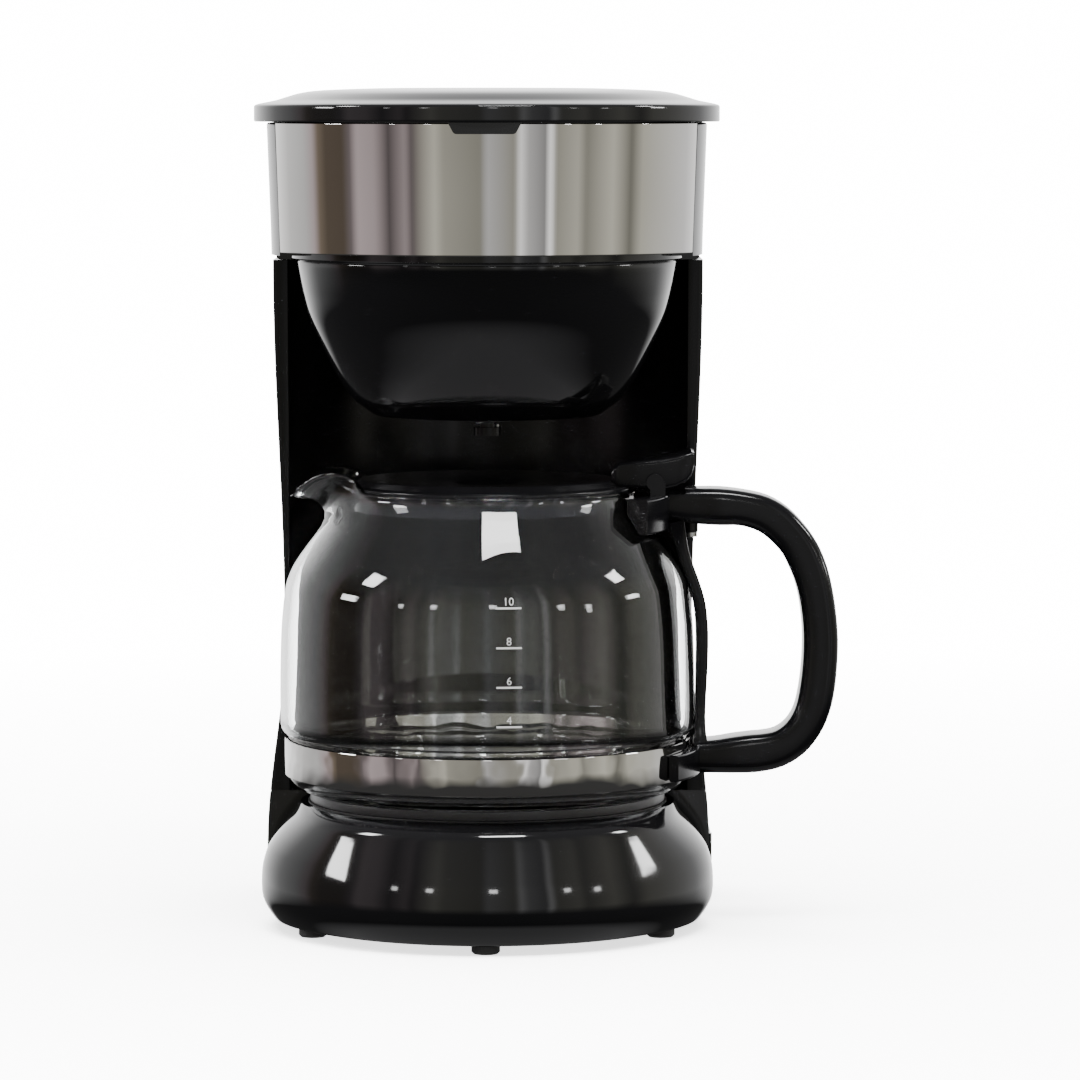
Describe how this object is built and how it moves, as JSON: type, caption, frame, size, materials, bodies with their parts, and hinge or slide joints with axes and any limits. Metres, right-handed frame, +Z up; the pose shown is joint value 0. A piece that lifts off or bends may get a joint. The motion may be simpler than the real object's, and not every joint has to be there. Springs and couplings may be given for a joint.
{
  "type": "drip coffee maker",
  "caption": "Black drip coffee maker: domed base with hot plate, waisted tank tower, funnel brew head with steel band and hinged lid, glass carafe with D handle.",
  "frame": {"origin": "middle of the footprint on the table plane, under the feet", "axes": "+Z up, -Y towards the front, +X towards the carafe handle; the carafe axis is at x = -22.15 mm, y = -15.4 mm"},
  "size_m": [0.2162, 0.2028, 0.3115],
  "materials": {
    "gloss_black_body": "high gloss injection moulded",
    "satin_black_plastic": "satin moulded",
    "black_liner_plastic": "fine matt",
    "steel_band": "polished with a fine vertical grain",
    "zinc_steel": "plated",
    "rubber_black": "matt",
    "hot_plate_coating": "non-stick coating",
    "silicone_seal": "matt",
    "heater_aluminium": "extruded",
    "hose_silicone": "translucent white",
    "white_plastic": "plain moulded",
    "thermostat_shell": "phenolic",
    "fuse_sleeve": "woven glass sleeve",
    "lead_sleeve": "woven sleeve",
    "red_plastic": "moulded",
    "switch_black": "moulded",
    "clear_plastic": "clear",
    "carafe_glass": "clear borosilicate",
    "gold_mesh": "fine woven mesh"
  },
  "bodies": {
    "machine": {"base_housing": "gloss_black_body", "base_rear": "gloss_black_body", "tower_housing": "gloss_black_body", "upper_housing": "gloss_black_body", "brew_funnel": "gloss_black_body", "bottom_cover": "satin_black_plastic", "switch_bezel": "satin_black_plastic", "water_tank": "black_liner_plastic", "steel_band": "steel_band", "cover_screws": "zinc_steel", "clamp_screw": "zinc_steel", "hose_clips": "zinc_steel", "element_clamp": "zinc_steel", "lid_hinge_pin": "zinc_steel", "rubber_feet": "rubber_black", "cord_gland": "rubber_black", "tank_grommets": "rubber_black", "plate_gasket": "rubber_black", "hot_plate": "hot_plate_coating", "heating_element": "heater_aluminium", "heater_water_tube": "heater_aluminium", "cold_water_hose": "hose_silicone", "hot_water_hose": "hose_silicone", "check_valve_body": "white_plastic", "riser_tube": "white_plastic", "outlet_nozzle": "white_plastic", "terminal_block": "white_plastic", "thermostat": "thermostat_shell", "thermal_fuses": "fuse_sleeve", "power_leads": "lead_sleeve", "water_window": "clear_plastic", "gauge_tube": "clear_plastic"},
    "carafe": {"carafe_glass": "carafe_glass", "carafe_band": "steel_band", "carafe_handle": "satin_black_plastic", "handle_screw": "zinc_steel", "carafe_lid_pin": "zinc_steel"},
    "carafe_lid": {"carafe_lid": "satin_black_plastic"},
    "lid": {"top_lid": "gloss_black_body", "lid_shower_tray": "black_liner_plastic", "lid_seal": "silicone_seal"},
    "basket": {"filter_basket": "black_liner_plastic"},
    "filter": {"filter_frame": "black_liner_plastic", "filter_mesh": "gold_mesh"},
    "drip_stop": {"drip_stop_stem": "black_liner_plastic", "drip_stop_seal": "silicone_seal", "drip_stop_spring": "zinc_steel"},
    "rocker": {"switch_rocker": "switch_black", "switch_lens": "red_plastic"},
    "float": {"float_ball": "red_plastic"},
    "valve_ball": {"check_valve_ball": "red_plastic"}
  },
  "joints": [
    {"name": "lid_hinge", "type": "hinge", "parent": "machine", "child": "lid", "pos_m": [-0.02215, 0.0978, 0.3026], "axis": [-1, 0, 0], "range_deg": [0, 100]},
    {"name": "basket_lift", "type": "slide", "parent": "machine", "child": "basket", "axis": [0, 0, 1], "range_m": [0, 0.006]},
    {"name": "filter_lift", "type": "slide", "parent": "basket", "child": "filter", "axis": [0, 0, 1], "range_m": [0, 0.006]},
    {"name": "drip_stop_slide", "type": "slide", "parent": "basket", "child": "drip_stop", "axis": [0, 0, 1], "range_m": [0, 0.004], "stiffness_N_per_m": 150, "deforming": ["drip_stop_spring"]},
    {"name": "carafe_slide", "type": "slide", "parent": "machine", "child": "carafe", "axis": [0, -1, 0], "range_m": [0, 0.19]},
    {"name": "carafe_lid_hinge", "type": "hinge", "parent": "carafe", "child": "carafe_lid", "pos_m": [0.03985, -0.0154, 0.1665], "axis": [0, 1, 0], "range_deg": [0, 12]},
    {"name": "switch_rock", "type": "hinge", "parent": "machine", "child": "rocker", "pos_m": [0.05545, 0.0446, 0.02], "axis": [0, 0, 1], "range_deg": [0, 14]},
    {"name": "float_rise", "type": "slide", "parent": "machine", "child": "float", "axis": [0, 0, 1], "range_m": [0, 0.14]},
    {"name": "check_valve_lift", "type": "slide", "parent": "machine", "child": "valve_ball", "axis": [0, 0, 1], "range_m": [0, 0.0015]}
  ]
}
